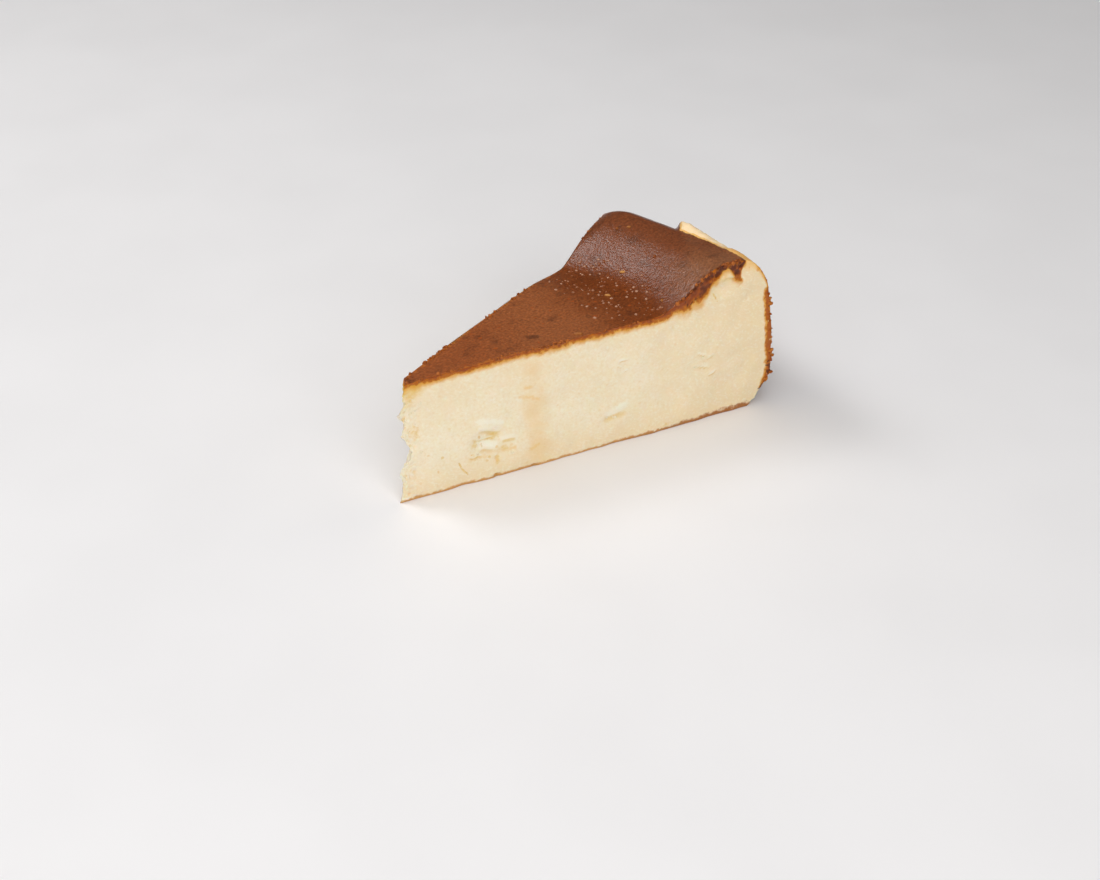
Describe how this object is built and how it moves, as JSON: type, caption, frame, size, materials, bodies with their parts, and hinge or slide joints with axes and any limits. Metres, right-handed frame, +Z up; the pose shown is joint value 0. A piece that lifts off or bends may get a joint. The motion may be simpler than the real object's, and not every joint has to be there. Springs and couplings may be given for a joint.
{
  "type": "basque cheesecake slice",
  "caption": "Wedge slice of burnt-topped baked cheesecake with a dark skin, pale cut faces, a raised browned rim and a torn tip.",
  "frame": {"origin": "middle of the slice's bounding box, on the flat base that it rests on", "axes": "+X along the slice from the tip to the rim, +Y across it to the far cut, +Z up"},
  "size_m": [0.1147, 0.0591, 0.0497],
  "materials": {
    "baked_custard": "moist pale baked custard with a satin dark brown skin on top and a rough browned side"
  },
  "bodies": {
    "root": {"cheesecake_slice": "baked_custard"}
  },
  "joints": []
}
